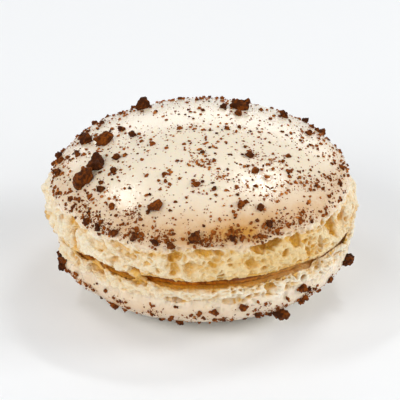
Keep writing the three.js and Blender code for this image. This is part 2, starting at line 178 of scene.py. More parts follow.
# From what size on, crumbs are stretched so much along, across and up, and stand so high.
CRUMB_LOOKS = [
    (2.8, (1.15, 1.15, 1.15), 0.15), (1.8, (1.25, 1.25, 1.4), 0.2),
    (1.2, (1.15, 1.15, 1.35), 0.14), (0.0, (1.05, 1.05, 1.1), 0.08),
]

# ---- What only the visible skins have ----

SECTORS = 88
COLUMNS = 12  # in each sector
ROWS = named(flat=6, lip=5, flat_crowding=0.25, cap_crowding=1.25)
FLAT_INSET = 0.95  # the flat side ends this far inside the foot's radius
SKIRT_BLEND = (0.88, 1.0)  # where up the foot its radius comes to meet the cap's

# Foam. Sizes are in parts of the bubbles' size, and what stands out is in parts of their depth.
FOAM_OPENS_TOWARDS = math.radians(65)  # of the macaron, for both shells
FOAM_SINKS = 0.3
# How burst it is: on average, how much more on the open side, and how patchy.
BURST = named(mean=0.34, swing=0.48, patchy=0.8, patch_size=2.4)
WARP = named(size=1.7, reach=0.5, flatness=1.3)
# Closed foam is billows with dents between them, burst foam is cups with walls between them, and
# small bubbles and a fine grain lie on both.
# The pore shares say how much painted shade lies in the dents between billows, in small bubbles and in
# cups.
BILLOWS = named(size=1.2, top=0.5, fall=1.25, dents=(0.5, 0.9), pore=0.65)
CUPS = named(
    size=0.92, top=0.4, depth=1.2, wall=(0.04, 0.45), inside=(0.1, 0.42), pore=1.9,
    usual=0.66, varied=1.1, least=0.1, variety=5.7,
)
BUBBLES = named(
    size=0.5, shift=Vector((31, 7, 3)), level=0.32, out=0.55, dents=(0.4, 0.75), pore=0.2)
# Broad swells stand out so far among billows and among cups, and their hollows get so much painted
# shade.
SWELLS = named(
    size=1.9, shift=Vector((5, 9, 2)), out=(0.9, 0.5), dents=(-0.05, -0.4), pore=(0.5, 0.7))
GRAIN = named(
    size=0.3, roughness=0.6, lacunarity=2.0, octaves=3, on_billows=0.2, on_cups=0.1)
# How foamy the flat side, the lip and both ends of a foot are, against its middle.
FOAMY = named(flat=0.35, flat_from=0.8, edge=0.75, edge_share=0.2, cap_latitude=9, pore_gain=1.3)

# Pits, the broken groove below the skirt and the dents of a cap, in millimetres and in shares.
PIT_RIMS = named(ragged=0.8, along=0.4, up=0.35, inside=(0.3, 0.9))
PIT_DEPTH = 0.6
GROOVE = named(
    low=0.72, deepest=0.86, high=0.98, deep=0.3, azimuth=12, spread=42, least=0.2,
    broken=((2.6, 1.0),), breaks=(-0.15, 0.25),
)
CAP_DENTS = ((4.5, 0.05), (1.3, 0.016))

# What colours a shell: how much painted shade lies in its pores, pits and groove, where foam ends, the
# filling's stain, browning.
PORES = named(foam=0.62, hollows=0.9)
FOAM_BORDER = named(reach=1.6, ragged=((2.2, 0.7), (0.7, 0.5)), fade=(0.1, -0.6))
STAIN = named(up_to=0.4, usual=0.16, ragged=((1.8, 0.2), (0.6, 0.12)), least=0.04, paler=0.35)
SKIN = named(latitude=14, spread=19, foot_shares=(0.72, 0.95))
UPPER.stained_lip = 0.45
LOWER.stained_lip = 0.7
# How toasted the foot's foam is, and how brown the cap: all round, more at an azimuth, spread.
UPPER.toasted = (0.36, 0.6, 26, 40)
LOWER.toasted = (0.22, 0.3, 42, 50)
UPPER.browned = (0.33, 0.55, 12, 36)
LOWER.browned = (0.16, 0.33, 42, 50)
HAZE = named(
    skirt=0.12, latitude=17, spread=8, crumbs=0.4, patches=0.16,
    beside=(0.2, 0.8),  # how far it spreads round crumbs of 0 and of 1 mm
    steepness=0.8,
)

FILLING_SKIN = named(
    sectors=60, columns=10, side_rows=15, flat_shares=[0.0, 0.5, 0.85, 0.96],
    inset=0.3, squareness=4, unevenness=((1.6, 0.7), (0.6, 0.35)),
    # The darker shares lay a painted shadow under the upper shell's lip.
    darker=(0.2, 0.36),  # the shares of its height between which it turns dark
)

# How broken a crumb's face is: its chips and dents in parts of its size, its grain in millimetres.
BROKEN = named(
    chip_size=0.5, chip_level=0.45, chip_depth=0.24, dent_size=0.16, dent_depth=0.1,
    grain_size=0.12, grain_depth=0.05, seed_steps=(3.1, 1.7, 0.0),
)
CRUMB_CUTS = named(large=5, middling=3)
CRUMB_WARMTH = named(most=0.42, by_size=0.3, varied=0.25)
GOLDEN_SHARE = 0.618  # steps of it vary the warmth evenly

# Two grades of grains: how many kinds, what they are cut from, their sizes, and how many of them
# are gathered in patches and beside larger crumbs.
SMALL = named(kinds=9, corners=11, cuts=1, sizes=(0.22, 0.8), gathered=0.24, warmth=(0.1, 0.85))
DUST = named(kinds=7, corners=8, cuts=0, sizes=(0.1, 0.28), gathered=0.45, warmth=(0.3, 1.0))
KIND_SEED = 0.3  # keeps their chips unlike those of the larger crumbs
GRAIN_SHAPE = named(width=(0.7, 1.2), height=(0.55, 1.0), seat=0.12)
STREWN = named(
    over_patch=1.1, beside=(0.7, 1.2), share_beside=0.25, orange_beside=0.4,
    skirt_share=0.24, skirt=(2, 28), skirt_crowding=1.3, lowest=1.5,
    front=110, share_behind=0.6,  # fewer beyond this azimuth, on the far side
)
BESIDE = named(furthest=0.98, steepness=0.75, least_across=0.1, orange=(0.6, 1.4))

# Cocoa powder that lies in patches: azimuth, latitude, spread, count and how orange.
UPPER.patches = [
    (14, 54, 0.8, 34, 0.9), (55, 34, 1.1, 44, 1.0), (8, 62, 0.9, 28, 0.9),
    (36, 34, 1.2, 40, 0.8), (46, 38, 1.3, 50, 0.8), (24, 44, 0.9, 22, 0.7),
    (54, 52, 0.9, 36, 0.7), (50, 60, 1.0, 40, 0.6), (-5, 64, 0.8, 30, 1.0),
    (-30, 26, 1.2, 70, 0.4), (-56, 18, 1.4, 50, 0.3),
    (-46, 12, 1.5, 120, 0.3), (-38, 9, 1.4, 110, 0.3), (-26, 12, 1.4, 100, 0.5),
    (-14, 14, 1.4, 120, 0.6), (2, 9, 1.3, 130, 0.4), (12, 14, 1.4, 120, 0.6),
    (24, 10, 1.4, 110, 0.5), (34, 14, 1.4, 80, 0.5), (44, 12, 1.5, 80, 0.6),
    (-88, 26, 1.3, 12, 0.4), (62, 30, 1.3, 50, 0.6), (72, 22, 1.4, 36, 0.5),
]
LOWER.patches = [
    (60, 8, 1.3, 90, 0.7), (52, 12, 1.0, 50, 0.4), (36, 10, 1.2, 60, 0.4),
    (20, 12, 1.2, 50, 0.3), (4, 14, 1.2, 60, 0.3), (-8, 20, 1.2, 70, 0.3),
    (-22, 6, 1.2, 50, 0.4), (-30, 14, 1.3, 60, 0.3), (-46, 10, 1.2, 60, 0.3),
]

# ---- The stage, in metres ----

FLOOR_HALF_WIDTH = 2.0
FLOOR_SHADE = 0.985  # the floor's darker clouds, against its colour
BOXES_AIM = 0.012  # above the floor
SENSOR_WIDTH = 36  # of the camera, in millimetres

# Soft boxes: azimuth and elevation in degrees, distance, width and height in metres, watts, and
# whether the box is bright enough in itself to show as a highlight.
SOFT_BOXES = [
    ("box_back_left", (-119, 57), 0.6, (0.22, 0.035), 0.5, True),
    ("box_back_right", (147, 57), 0.6, (0.16, 0.04), 0.52, True),
    ("box_back_low", (180, 14), 0.7, (0.9, 0.2), 1.06, True),
    ("box_left", (-90, 25), 0.6, (0.25, 0.2), 0.45, False),
    ("box_right", (90, 25), 0.6, (0.25, 0.2), 1.55, False),
    ("box_front_left", (-45, 31), 0.7, (0.5, 0.4), 2.6, False),
    ("box_front_right", (45, 31), 0.7, (0.5, 0.4), 1.35, False),
]

# ---- Settings ----


def tone(red, green, blue):
    """A colour given as it looks on a screen, 0 to 255, in the scene's linear numbers."""
    def linear(value):
        share = value / 255
        return share / 12.92 if share <= 0.04045 else ((share + 0.055) / 1.055) ** 2.4

    return linear(red), linear(green), linear(blue)


def colour_property(name, description, default):
    return bpy.props.FloatVectorProperty(
        name=name, description=description, subtype="COLOR", size=3,
        min=0.0, max=1.0, default=default,
    )


def length_property(name, description, default):
    return bpy.props.FloatProperty(
        name=name, description=description, unit="LENGTH", precision=5, min=0.0, default=default,
    )


def share_property(name, description, default):
    return bpy.props.FloatProperty(
        name=name, description=description, subtype="FACTOR", min=0.0, max=1.0, default=default,
    )


class MacaronShellSettings(bpy.types.PropertyGroup):
    """Looks of the two meringue shells"""

    cap_colour: colour_property("Cap", "Colour of the smooth cap near its top", tone(242, 229, 206))
    baked_colour: colour_property(
        "Baked skirt", "Colour of the cap near its skirt, where it browned", tone(204, 147, 64))
    foot_colour: colour_property(
        "Foot", "Colour of the palest foam of the foot", tone(254, 248, 232))
    toasted_colour: colour_property(
        "Toasted foot", "Colour of the foam where it is toasted", tone(238, 208, 150))
    # Painted shade: the ochre that pores, pits and the groove under the skirt turn to. It stands in for
    # their shade and for warm light through the foam.
    pore_shade_colour: colour_property(
        "Pores", "Colour deep in the pores of the foot", tone(227, 174, 66))
    stain_colour: colour_property(
        "Stain", "Colour of the meringue that has drunk the filling", tone(234, 174, 56))
    haze_colour: colour_property(
        "Cocoa haze", "Colour of the film of cocoa between the crumbs", tone(196, 116, 52))
    cap_roughness: share_property("Cap roughness", "Roughness of the cap's satin skin", 0.12)
    foot_roughness: share_property("Foot roughness", "Roughness of the foam", 0.62)
    bubble_size: length_property("Bubble size", "Width of the foam's larger bubbles", 1.15 * MM)
    bubble_depth: length_property("Bubble depth", "How far the larger bubbles stand out", 0.65 * MM)


class MacaronFillingSettings(bpy.types.PropertyGroup):
    """Looks of the cream between the shells"""

    colour: colour_property("Filling", "Colour of the cream", tone(232, 148, 36))
    # The dark filling colour also paints the shadow under the upper lip.
    dark_colour: colour_property("Dark filling", "Colour of its darker streaks", tone(132, 62, 8))
    pale_colour: colour_property("Pale filling", "Where almond cream shows", tone(240, 202, 122))
    edge_depth: length_property("Edge relief", "How uneven the pressed edge is", 0.35 * MM)


class MacaronCrumbSettings(bpy.types.PropertyGroup):
    """Looks and numbers of the cocoa crumbs"""

    dark_colour: colour_property("Dark crumb", "Colour of the large crumbs", tone(66, 30, 8))
    warm_colour: colour_property("Warm crumb", "Colour of thin and fine crumbs", tone(150, 77, 20))
    powder_colour: colour_property("Powder", "Colour of the palest dust", tone(212, 132, 60))
    small_count: bpy.props.IntProperty(
        name="Small crumbs", description="Crumbs of 0.2 to 0.8 mm", min=0, default=2700)
    dust_count: bpy.props.IntProperty(
        name="Dust", description="Grains under 0.3 mm, spread over both shells", min=0,
        default=4300)
    seed: bpy.props.IntProperty(
        name="Seed", description="Another number strews the small crumbs another way", default=5)


class MacaronStageSettings(bpy.types.PropertyGroup):
    """Floor, light and camera"""

    floor_colour: colour_property("Floor", "Colour of the floor", (0.885, 0.9, 0.915))
    backdrop: bpy.props.FloatProperty(
        name="Backdrop", description="Brightness of the surroundings", min=0.0, default=0.2)
    light: bpy.props.FloatProperty(
        name="Light", description="Power of all soft boxes against their usual one",
        min=0.0, default=1.0)
    view_elevation: bpy.props.FloatProperty(
        name="Elevation", description="Angle of the camera above the horizon",
        subtype="ANGLE", default=math.radians(28.13))
    view_distance: length_property("Distance", "From the camera to what it aims at", 0.45)
    view_height: length_property("Aim", "Height of the point that the camera aims at", 12.5 * MM)
    lens: bpy.props.FloatProperty(
        name="Lens", description="Focal length in millimetres", min=1.0, default=272.6)


# ---- Numbers ----


def random_stream(seed):
    """A repeatable stream of numbers from 0 to 1, the same as the solids are drawn from."""
    whole = 0xFFFFFFFF
    state = seed

    def draw():
        nonlocal state
        state = (state + 0x6D2B79F5) & whole
        bits = ((state ^ (state >> 15)) * (state | 1)) & whole
        stirred = ((bits ^ (bits >> 7)) * (bits | 61)) & whole
        bits = ((bits + stirred) & whole) ^ bits
        return (bits ^ (bits >> 14)) / (whole + 1)

    return draw


def between(draw, ends):
    return ends[0] + (ends[1] - ends[0]) * draw()


def turn_between(start, end):
    """The shorter way round from one azimuth to another."""
    return (end - start + 180) % 360 - 180


def bell(distance):
    return np.exp(-distance * distance)


def mixed(start, end, share):
    return start + (end - start) * share


def ramp(value, low, high):
    """0 below low, 1 above high, and a smooth way between them. Low may be above high."""
    share = np.clip((value - low) / (high - low), 0.0, 1.0)
    return share * share * (3 - 2 * share)


def near_turn(azimuth, at, spread):
    """1 at an azimuth, and less the further round from it."""
    return bell(turn_between(at, azimuth) / spread)


def share_round(azimuth, least, more, at, spread):
    """A share that is least all the way round, and more towards one azimuth."""
    return least + more * near_turn(azimuth, at, spread)


def uneven(points, layers):
    """Noise at points, summed over layers that say how wide and how large their swells are."""
    return sum(
        large * np.array([noise.noise(Vector(point) / wide) for point in points])
        for wide, large in layers)


def turned_point(azimuth, radius, height):
    """Points in x, y and z from their azimuth, their radius and their height."""
    angle = np.radians(azimuth)
    return np.stack(np.broadcast_arrays(
        radius * np.sin(angle), -radius * np.cos(angle), height), axis=-1)


# ---- Relief of a shell, drawn once from its seed ----


def draw_waves(draw, kind):
    count, (fewest, most), size = kind
    waves = []
    for _ in range(count):
        cycles = fewest + math.floor(draw() * (most - fewest + 1))
        phase = 360 * draw()
        waves.append((cycles, phase, size * between(draw, WAVE_SIZES)))
    return waves


def waves_at(waves, azimuth):
    return sum(size * np.cos(np.radians(cycles * azimuth + phase)) for cycles, phase, size in waves)


def rise_at(rises, waves, azimuth):
    """How far a rim lies above its usual height: where it rises or dips, and in waves all round."""
    total = waves_at(waves, azimuth)
    for at, up, spread in rises:
        total = total + up * near_turn(azimuth, at, spread)
    return total


def draw_relief(shell):
    draw = random_stream(shell.seed)
    relief = named(
        edge=draw_waves(draw, WAVES.edge), skirt=draw_waves(draw, WAVES.skirt),
        round=draw_waves(draw, WAVES.round), dome=draw_waves(draw, WAVES.dome),
    )

    def spot(kind, depth):
        return (
            between(draw, (-180, 180)), shell.foot_height * between(draw, kind.height),
            between(draw, kind.wide), between(draw, kind.tall), between(draw, depth),
        )

    relief.lumps = [spot(LUMPS, LUMPS.out) for _ in range(shell.lump_count)]
    relief.pits = shell.pits + [spot(PITS, PITS.deep) for _ in range(shell.pit_count)]
    return relief


UPPER.relief = draw_relief(UPPER)
LOWER.relief = draw_relief(LOWER)


def spots_at(spots, azimuth, height, radius):
    """How far rounded lumps stand out, or pits go in, at points of the foot's side."""
    total = 0.0
    for at, level, wide, tall, out in spots:
        along = np.radians(turn_between(at, azimuth)) * radius / wide
        total = total + out * bell(np.hypot(along, (height - level) / tall))
    return total


def swell_at(shell, azimuth, height):
    total = 0.0
    for at, level, out, spread, tall in shell.swells:
        total = total + out * near_turn(azimuth, at, spread) * bell((height - level) / tall)
    return total


def foot_point(shell, azimuth, share):
    """Radius and height on the foot's side, a share of the way from its edge to the skirt."""
    leaning = shell.lean * np.sin(np.radians(azimuth))
    skirt = rise_at(shell.skirt_rises, shell.relief.skirt, azimuth) + leaning
    rise = mixed(rise_at(shell.edge_rises, shell.relief.edge, azimuth), skirt, share)
    height = shell.foot_height * share
    rounding = LIP.rounding * ramp(share, LIP.share, 0)
    radius = shell.foot_radius - shell.foot_taper * share**TAPER_POWER - rounding
    pits = spots_at(shell.relief.pits, azimuth, height, shell.foot_radius)
    radius = radius + swell_at(shell, azimuth, height) + waves_at(shell.relief.round, azimuth) - pits
    radius = radius + spots_at(shell.relief.lumps, azimuth, height, shell.foot_radius)
    return radius, height + rise


def cap_point(shell, azimuth, latitude):
    """Radius and height of points of the cap's dome."""
    level = np.maximum(np.cos(np.radians(latitude)), 0.0)
    power = 2 / shell.cap_fullness
    radius = shell.cap_radius * level**power
    swell = swell_at(shell, azimuth, shell.foot_height) + waves_at(shell.relief.round, azimuth)
    dome = shell.cap_rise * np.sin(np.radians(latitude)) ** power
    leaning = shell.lean * np.sin(np.radians(azimuth)) * (radius / shell.cap_radius)
    skirt = rise_at(shell.skirt_rises, shell.relief.skirt, azimuth) * bell(latitude / SKIRT_WAVE_FADE)
    dent = waves_at(shell.relief.dome, azimuth) * level**3 * (1 - level)
    height = shell.foot_height + dome + leaning + skirt + dent
    return radius + swell * level**3, np.minimum(height, shell.highest)


# ---- Meshes ----


def mesh_from(bm, name):
    mesh = bpy.data.meshes.new(name)
    bm.to_mesh(mesh)
    bm.free()
    return mesh


def lathe_mesh(rows, sectors, columns, name):
    """A closed skin spun about z in a few sectors, each of them then cut into so many columns.

    Its radius is 1 but for its two ends, and each row lies as high as its number. With it come
    the azimuth and the row of every vertex.
    """
    bm = bmesh.new()
    line = [bm.verts.new((0.0, -1.0 if 0 < row < rows - 1 else 0.0, row)) for row in range(rows)]
    edges = [bm.edges.new(pair) for pair in zip(line, line[1:])]
    bmesh.ops.spin(
        bm, geom=line + edges, cent=(0, 0, 0), axis=(0, 0, 1), angle=math.tau,
        steps=sectors, use_merge=True,
    )
    level = [edge for edge in bm.edges if edge.verts[0].co.z == edge.verts[1].co.z]
    bmesh.ops.subdivide_edges(bm, edges=level, cuts=columns - 1)
    bmesh.ops.remove_doubles(bm, verts=bm.verts, dist=1e-4)
    bmesh.ops.recalc_face_normals(bm, faces=bm.faces)
    mesh = mesh_from(bm, name)
    x, y, z = read_points(mesh).T
    return mesh, np.degrees(np.arctan2(x, -y)), np.rint(z).astype(int)


def read(collection, name):
    values = np.empty(len(collection) * 3)
    collection.foreach_get(name, values)
    return values.reshape(-1, 3)


def read_points(mesh):
    return read(mesh.vertices, "co")


def read_normals(mesh):
    return read(mesh.vertex_normals, "vector")


def write_points(mesh, points):
    mesh.vertices.foreach_set("co", np.ascontiguousarray(points, dtype=np.float32).ravel())
    mesh.update()


def store(mesh, name, values):
    """Keeps one number for each vertex under a name that materials read."""
    attribute = mesh.attributes.new(name, "FLOAT", "POINT")
    attribute.data.foreach_set("value", np.ascontiguousarray(values, dtype=np.float32))


def add_piece(name, mesh, material, slot, *nodes):
    """Links a finished mesh as a piece of the macaron, in place of the solids it stands for."""
    mesh.polygons.foreach_set("use_smooth", [True] * len(mesh.polygons))
    mesh.materials.append(material)
    piece = bpy.data.objects.new(name, mesh)
    bpy.context.scene.collection.objects.link(piece)
    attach(piece, "root")
    if nodes:
        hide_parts(*nodes)


# ---- Materials ----


class Nodes:
    """A material's node tree, with short ways to add and join its nodes."""

    def __init__(self, name):
        self.material = bpy.data.materials.new(name)
        self.material.use_nodes = True
        self.tree = self.material.node_tree
        self.tree.nodes.clear()
        self.surface = self.tree.nodes.new("ShaderNodeBsdfPrincipled")
        output = self.tree.nodes.new("ShaderNodeOutputMaterial")
        self.tree.links.new(self.surface.outputs["BSDF"], output.inputs["Surface"])
        self.place = self.add("TexCoord", "Object", {})

    def put(self, socket, value):
        if isinstance(value, bpy.types.NodeSocket):
            self.tree.links.new(value, socket)
        elif socket.type == "RGBA":
            socket.default_value = (*value, 1.0)
        else:
            socket.default_value = value

    def add(self, kind, output, inputs, **settings):
        """Adds a node, fills its inputs and gives one of its outputs."""
        node = self.tree.nodes.new("ShaderNode" + kind)
        for name, value in settings.items():
            setattr(node, name, value)
        for name, value in inputs.items():
            self.put(node.inputs[name], value)
        return node.outputs[output]

    def attribute(self, name):
        return self.add("Attribute", "Fac", {}, attribute_name=name)

    def noise(self, per_mm, detail=3.0, roughness=0.5):
        """Cloudy noise from 0 to 1, with so many clouds to a millimetre."""
        return self.add("TexNoise", "Fac", {
            "Vector": self.place, "Scale": per_mm / MM, "Detail": detail, "Roughness": roughness})

    def cells(self, per_mm):
        """Distance to the nearest of scattered points, with so many points to a millimetre."""
        return self.add("TexVoronoi", "Distance", {"Vector": self.place, "Scale": per_mm / MM})

    def math(self, operation, *numbers):
        return self.add("Math", 0, dict(enumerate(numbers)), operation=operation)

    def spread(self, value, low, high, to_low=0.0, to_high=1.0):
        """Brings a value from one range to another, held at the ends."""
        return self.add("MapRange", "Result", {
            "Value": value, "From Min": low, "From Max": high, "To Min": to_low, "To Max": to_high,
        }, interpolation_type="SMOOTHSTEP")

    def mix(self, share, first, second, data_type="RGBA"):
        inputs = {"Factor": share, "A": first, "B": second}
        return self.add("Mix", "Result", inputs, data_type=data_type)

    def bump(self, height, distance):
        """Low relief, its distance in millimetres."""
        self.set("Normal", self.add("Bump", "Normal", {"Height": height, "Distance": distance * MM}))

    def set(self, name, value):
        self.put(self.surface.inputs[name], value)

    def translucent(self, weight, *depths):
        """Lets light in, to depths in millimetres for red, green and blue."""
        self.set("Subsurface Weight", weight)
        self.set("Subsurface Radius", tuple(depth * MM for depth in depths))
        self.set("Subsurface Scale", 1.0)


def shell_material(settings, name):
    """Baked meringue: a satin cream cap, browned at its skirt, and a foamy foot with ochre painted shade
    in its pores.
    """
    nodes = Nodes(name)
    foot = nodes.attribute("foot")
    baked = nodes.attribute("baked")
    clouds = nodes.noise(0.35, 4.0)
    mottle = nodes.noise(2.2, 3.0)
    grain = nodes.noise(9.0, 2.0)

    browned = nodes.math("MULTIPLY", baked, nodes.spread(clouds, 0.3, 0.7, 0.75, 1.2))
    cap = nodes.mix(browned, settings.cap_colour, settings.baked_colour)
    powder = nodes.math("MULTIPLY", nodes.attribute("haze"), nodes.spread(mottle, 0.42, 0.62))
    cap = nodes.mix(powder, cap, settings.haze_colour)
    foam = nodes.mix(baked, settings.foot_colour, settings.toasted_colour)
    # Painted shade: pores, pits and the groove are tinted towards the pore shade colour by how deep they
    # lie.
    pores = nodes.spread(mottle, 0.25, 0.75, 0.8, 1.15)
    pores = nodes.math("MULTIPLY", nodes.attribute("pore"), pores)
    foam = nodes.mix(pores, foam, settings.pore_shade_colour)
    stain = nodes.spread(mottle, 0.2, 0.7, 0.8, 1.1)
    stain = nodes.math("MULTIPLY", nodes.attribute("stain"), stain)
    foam = nodes.mix(stain, foam, settings.stain_colour)
    nodes.set("Base Color", nodes.mix(foot, cap, foam))

    rough = nodes.spread(foot, 0.0, 1.0, settings.cap_roughness, settings.foot_roughness)
    nodes.set("Roughness", nodes.math("ADD", rough, nodes.spread(grain, 0.3, 0.7, -0.05, 0.05)))
    nodes.set("Specular IOR Level", 0.75)
    nodes.translucent(nodes.spread(foot, 0.0, 1.0, 0.3, 0.15), 0.5, 0.35, 0.18)
    satin = nodes.math("ADD", grain, nodes.math("MULTIPLY", mottle, 1.5))
    crackle = nodes.math("MULTIPLY", nodes.noise(3.0, 5.0, 0.65), 9.0)
    bubbles = nodes.math("MULTIPLY_ADD", nodes.cells(2.6), -7.0, crackle)
    nodes.bump(nodes.mix(foot, satin, bubbles, "FLOAT"), 0.018)
    return nodes.material


def filling_material(settings):
    """Caramel cream, a little glossy, with darker streaks, and a painted shadow under the upper lip."""
    nodes = Nodes("caramel_cream")
    streaks = nodes.noise(0.9, 4.0, 0.6)
    cream = nodes.mix(nodes.spread(streaks, 0.38, 0.68), settings.colour, settings.dark_colour)
    paler = nodes.spread(streaks, 0.3, 0.6, 1, 0.7)
    paler = nodes.math("MULTIPLY", nodes.attribute("paler"), paler)
    cream = nodes.mix(paler, cream, settings.pale_colour)
    # Painted shadow: the upper part of the side, under the upper shell's lip, is laid over with the dark
    # colour.
    darker = nodes.math("MULTIPLY", nodes.attribute("darker"), 0.9)
    nodes.set("Base Color", nodes.mix(darker, cream, settings.dark_colour))
    nodes.set("Roughness", nodes.spread(nodes.noise(3.0), 0.3, 0.7, 0.32, 0.5))
    nodes.translucent(0.2, 0.8, 0.3, 0.1)
    nodes.bump(nodes.noise(4.0), 0.04)
    return nodes.material


def crumb_material(settings):
    """Dry cocoa crumb, darker where it is thick, with a rough and porous face."""
    nodes = Nodes("cocoa_crumb")
    patches = nodes.noise(1.6, 4.0, 0.6)
    warm = nodes.spread(patches, 0.38, 0.66, -0.1, 0.22)
    warm = nodes.math("ADD", nodes.attribute("warm"), warm)
    colour = nodes.mix(nodes.spread(warm, 0.0, 0.6), settings.dark_colour, settings.warm_colour)
    colour = nodes.mix(nodes.spread(warm, 0.6, 1.1), colour, settings.powder_colour)
    nodes.set("Base Color", colour)
    nodes.set("Roughness", nodes.spread(patches, 0.3, 0.7, 0.6, 0.85))
    nodes.set("Specular IOR Level", 0.2)
    nodes.bump(nodes.noise(3.5, 5.0, 0.65), 0.25)
    return nodes.material


def floor_material(settings):
    nodes = Nodes("pale_floor")
    pale = settings.floor_colour
    nodes.set("Base Color", nodes.mix(nodes.noise(0.01, 2.0), pale, FLOOR_SHADE * pale))
    nodes.set("Roughness", 0.6)
    nodes.set("Specular IOR Level", 0.2)
    return nodes.material


# ---- Shells ----


def shell_rows(shell):
    """The rows of a shell's skin, from the middle of its flat side to the top of its dome."""
    flat = [("flat", share) for share in np.linspace(0, 1, ROWS.flat) ** ROWS.flat_crowding]
    lip = [("lip", share) for share in np.linspace(0, 1, ROWS.lip + 1)[1:-1]]
    foot = [("foot", share) for share in np.linspace(0, 1, shell.foot_rows)]
    up_cap = np.linspace(0, 1, shell.cap_rows + 1)[1:] ** ROWS.cap_crowding
    return flat + lip + foot + [("cap", 90 * share) for share in up_cap]


def shell_form(shell, azimuth, row):
    """Points of a shell's skin without its foam, with the zone and the level of each."""
    rows = shell_rows(shell)
    zones = np.array([zone for zone, _ in rows])[row]
    levels = np.array([level for _, level in rows])[row]
    flat_radius = shell.foot_radius - FLAT_INSET
    radius = flat_radius * levels
    height = np.full(len(row), shell.flat_side)

    at = zones == "lip"
    quarter = levels[at] * math.pi / 2
    edge_radius, edge_height = foot_point(shell, azimuth[at], 0.0)
    radius[at] = mixed(flat_radius, edge_radius, np.sin(quarter))
    height[at] = mixed(shell.flat_side, edge_height, 1 - np.cos(quarter))

    at = zones == "foot"
    foot_radius, height[at] = foot_point(shell, azimuth[at], levels[at])
    skirt_radius, _ = cap_point(shell, azimuth[at], 0.0)
    radius[at] = mixed(foot_radius, skirt_radius, ramp(levels[at], *SKIRT_BLEND))

    at = zones == "cap"
    radius[at], height[at] = cap_point(shell, azimuth[at], levels[at])
    return turned_point(azimuth, radius, height), zones, levels


def foam_amount(zones, levels):
    """How foamy each point is: most on the foot, less on the outer flat side, none up the cap."""
    from_edge = mixed(FOAMY.edge, 1.0, ramp(levels, 0, FOAMY.edge_share))
    to_skirt = mixed(1.0, FOAMY.edge, ramp(levels, 1 - FOAMY.edge_share, 1.0))
    amounts = {
        "flat": FOAMY.flat * ramp(levels, FOAMY.flat_from, 1.0),
        "lip": mixed(FOAMY.flat, FOAMY.edge, levels),
        "foot": from_edge * to_skirt,
        "cap": FOAMY.edge * ramp(levels, FOAMY.cap_latitude, 0),
    }
    return np.select([zones == zone for zone in amounts], list(amounts.values()))


def warped(point, size):
    """A point pushed about a little, so that bubbles of a size aren't round, and pressed flat."""
    spot = point + noise.noise_vector(point / (WARP.size * size)) * (WARP.reach * size)
    return Vector((spot.x, spot.y, spot.z * WARP.flatness))


def billow_at(point, size):
    """Rounded billows: how far out a point lies, and how deep in the dents between them."""
    near = noise.voronoi(warped(point, size) / size)[0][0]
    return BILLOWS.top - BILLOWS.fall * near * near, ramp(near, *BILLOWS.dents)


def cup_at(point, size):
    """Open cups with walls between them: how far out a point lies, and how deep in a cup."""
    (near, following, *_), centres = noise.voronoi(warped(point, size) / size)
    depth = CUPS.usual + CUPS.varied * noise.noise(centres[0] * CUPS.variety)
    depth = min(max(depth, CUPS.least), 1.0)
    wall = CUPS.top - CUPS.depth * depth * ramp(following - near, *CUPS.wall)
    return wall, depth * ramp(following - near, *CUPS.inside)


def foam(point, size, open_side):
    """How far foam stands out at a point, in parts of the bubbles' depth, and how much painted shade
    lies in its pores.
    """
    burst = BURST.mean + BURST.swing * math.cos(math.atan2(point.x, -point.y) - open_side)
    burst += BURST.patchy * noise.noise(point / (BURST.patch_size * size))
    burst = min(max(burst, 0.0), 1.0)
    billow, dent = billow_at(point, BILLOWS.size * size)
    wall, cup = cup_at(point, CUPS.size * size)
    middle = noise.voronoi(warped(point, size) / (BUBBLES.size * size) + BUBBLES.shift)[0][0]
    rough = noise.fractal(
        point / (GRAIN.size * size), GRAIN.roughness, GRAIN.lacunarity, GRAIN.octaves)
    broad = noise.noise(warped(point, size) / (SWELLS.size * size) + SWELLS.shift)
    billow += BUBBLES.out * (BUBBLES.level - middle) + GRAIN.on_billows * rough
    out = mixed(billow, wall + GRAIN.on_cups * rough, burst) + mixed(*SWELLS.out, burst) * broad
    dent = BILLOWS.pore * dent + BUBBLES.pore * ramp(middle, *BUBBLES.dents)
    pore = mixed(dent, CUPS.pore * cup, burst)
    return out - FOAM_SINKS, pore + mixed(*SWELLS.pore, burst) * ramp(broad, *SWELLS.dents)


def foam_relief(shell, points, amount, settings):
    """Out and in, in millimetres, and how deep in a pore every point lies, from 0 to 1, for the painted
    shade there.
    """
    out = np.zeros(len(points))
    pore = np.zeros(len(points))
    size = settings.bubble_size / MM
    open_side = shell.side * FOAM_OPENS_TOWARDS
    for index in np.nonzero(amount > 0)[0]:
        out[index], pore[index] = foam(Vector(points[index]), size, open_side)
    pore *= np.minimum(FOAMY.pore_gain * amount, 1.0)
    return out * amount * (settings.bubble_depth / MM), pore


def ragged_pits(shell, azimuth, levels, points):
    """How far inside a pit points of the foot's side lie, from 0 to 1. The pits' rims are ragged."""
    shift = np.array([noise.noise_vector(Vector(point) / PIT_RIMS.ragged) for point in points])
    along = np.degrees(PIT_RIMS.along * shift[:, 0] / shell.foot_radius)
    height = shell.foot_height * levels + PIT_RIMS.up * shift[:, 2]
    hollow = spots_at(shell.relief.pits + shell.more_pits, azimuth + along, height, shell.foot_radius)
    return ramp(hollow, *PIT_RIMS.inside)


def undercut(azimuth, levels, points):
    """How far inside the broken groove just below the skirt points of the foot's side lie."""
    across = ramp(levels, GROOVE.low, GROOVE.deepest) * ramp(levels, GROOVE.high, GROOVE.deepest)
    around = mixed(GROOVE.least, 1.0, near_turn(azimuth, GROOVE.azimuth, GROOVE.spread))
    return across * around * ramp(uneven(points, GROOVE.broken), *GROOVE.breaks)


